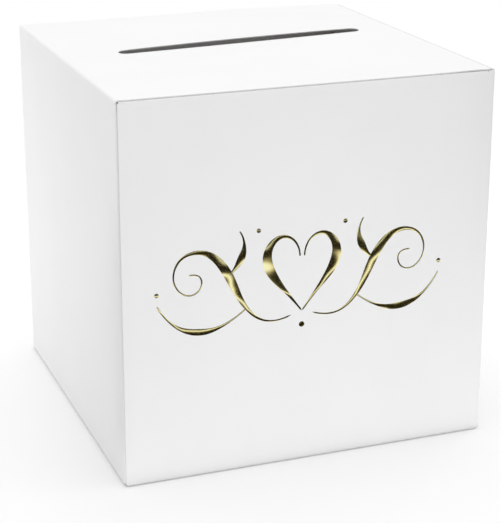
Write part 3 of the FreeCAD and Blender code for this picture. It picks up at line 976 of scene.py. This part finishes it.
def reflector_card(tree, place):
    """A card that only the foil mirrors: wavering bands from side to side, cool and bright between warm and
    dark."""
    bands = add_node(
        tree, "ShaderNodeTexWave", {"Vector": place}, bands_direction="Y", Scale=1.25, Distortion=0.7,
        Detail=1.0, Detail_Scale=2.0, Phase_Offset=0.7)
    sharpness = 16.0
    peaks = add_node(tree, "ShaderNodeMath", {0: bands.outputs["Fac"]}, operation="POWER")
    peaks.inputs[1].default_value = sharpness
    level = add_node(tree, "ShaderNodeMapRange", {"Value": peaks.outputs["Value"]}, To_Min=0.015, To_Max=2.2)
    tint = add_node(
        tree, "ShaderNodeMix", {"Factor": peaks.outputs["Value"]}, data_type="RGBA",
        A=linear("FFF0BC"), B=linear("C6D8FF"))
    return add_node(
        tree, "ShaderNodeEmission",
        {"Color": tint.outputs["Result"], "Strength": level.outputs["Result"]}).outputs["Emission"]


def black_card(tree, place):
    """Matte black card, which holds light off a wall near its edge."""
    return add_node(tree, "ShaderNodeBsdfDiffuse", Color=linear("101010")).outputs["BSDF"]


def white_room(scene):
    """A white room that lights the box from all round, mostly from its ceiling, and is pure white where it
    is seen."""
    stage = settings()[2]
    world = bpy.data.worlds.new("white_room")
    scene.world = world
    world.use_nodes = True
    tree = world.node_tree
    tree.nodes.clear()
    towards = add_node(tree, "ShaderNodeTexCoord").outputs["Generated"]
    height = add_node(tree, "ShaderNodeSeparateXYZ", {"Vector": towards}).outputs["Z"]
    level = add_node(
        tree, "ShaderNodeMapRange", {"Value": height}, To_Min=stage.walls, To_Max=stage.ceiling)
    light = add_node(
        tree, "ShaderNodeBackground", {"Strength": level.outputs["Result"]}, Color=linear("FFFFFF"))
    white = add_node(tree, "ShaderNodeBackground", Color=linear("FFFFFF"), Strength=1.0)
    choice = add_node(
        tree, "ShaderNodeMixShader",
        {"Fac": seen_directly(tree), 1: light.outputs["Background"], 2: white.outputs["Background"]})
    add_node(tree, "ShaderNodeOutputWorld", {"Surface": choice.outputs["Shader"]})


def soft_light(name, place, target, width, watts, depth=None):
    """A soft light at a place, facing a target: square, unless a depth is given too."""
    data = bpy.data.lights.new(name, "AREA")
    data.shape = "RECTANGLE"
    data.size, data.size_y = width, depth or width
    data.energy = watts
    lamp = bpy.data.objects.new(name, data)
    lamp.location = place
    lamp.rotation_euler = (Vector(target) - Vector(place)).to_track_quat("-Z", "Y").to_euler()
    lamp.visible_camera = False
    lamp.visible_glossy = False
    bpy.context.scene.collection.objects.link(lamp)


def aim_camera(scene):
    """A long lens low in front of the left corner."""
    azimuth, elevation = math.radians(-20.54), math.radians(18.22)
    distance, across, rise = 1.0849, 0.0055, -0.0095
    level = math.cos(elevation)
    back = np.array([math.sin(azimuth) * level, -math.cos(azimuth) * level, math.sin(elevation)])
    right = np.array([math.cos(azimuth), math.sin(azimuth), 0.0])
    up = np.cross(back, right)
    data = bpy.data.cameras.new("camera")
    data.lens = 111.04
    data.shift_y = -0.0497
    camera = bpy.data.objects.new("camera", data)
    camera.location = Z * TOP_Z / 2 + back * distance + right * across + up * rise
    camera.rotation_euler = (math.pi / 2 - elevation, 0, azimuth)
    scene.collection.objects.link(camera)
    scene.camera = camera


STEPS = (
    CARDBOX_OT_walls, CARDBOX_OT_upright_creases, CARDBOX_OT_glue_seam, CARDBOX_OT_bottom, CARDBOX_OT_lid,
    CARDBOX_OT_tuck_flap, CARDBOX_OT_dust_flaps, CARDBOX_OT_foil, CARDBOX_OT_stage)


class CARDBOX_PT_sidebar(bpy.types.Panel):
    """Lists the settings and the building steps"""
    bl_idname = "CARDBOX_PT_sidebar"
    bl_label = "Wedding card box"
    bl_space_type = "VIEW_3D"
    bl_region_type = "UI"
    bl_category = "Card box"

    def draw(self, context):
        for group in settings():
            column = self.layout.box().column()
            for name in group.bl_rna.properties.keys():
                if name not in ("rna_type", "name"):
                    column.prop(group, name)
        for step in STEPS:
            self.layout.operator(step.bl_idname)


CLASSES = (BoardSettings, FoilSettings, StageSettings, *STEPS, CARDBOX_PT_sidebar)


def register():
    for entry in CLASSES:
        bpy.utils.register_class(entry)
    bpy.types.Scene.card_box_board = bpy.props.PointerProperty(type=BoardSettings)
    bpy.types.Scene.card_box_foil = bpy.props.PointerProperty(type=FoilSettings)
    bpy.types.Scene.card_box_stage = bpy.props.PointerProperty(type=StageSettings)


def unregister():
    del bpy.types.Scene.card_box_stage, bpy.types.Scene.card_box_foil, bpy.types.Scene.card_box_board
    for entry in reversed(CLASSES):
        bpy.utils.unregister_class(entry)


def main():
    register()
    bpy.ops.card_box.walls()
    bpy.ops.card_box.upright_creases()
    bpy.ops.card_box.glue_seam()
    bpy.ops.card_box.bottom()
    bpy.ops.card_box.lid()
    bpy.ops.card_box.tuck_flap()
    bpy.ops.card_box.dust_flaps()
    bpy.ops.card_box.foil()
    bpy.ops.card_box.stage()


if __name__ == "__main__":
    main()
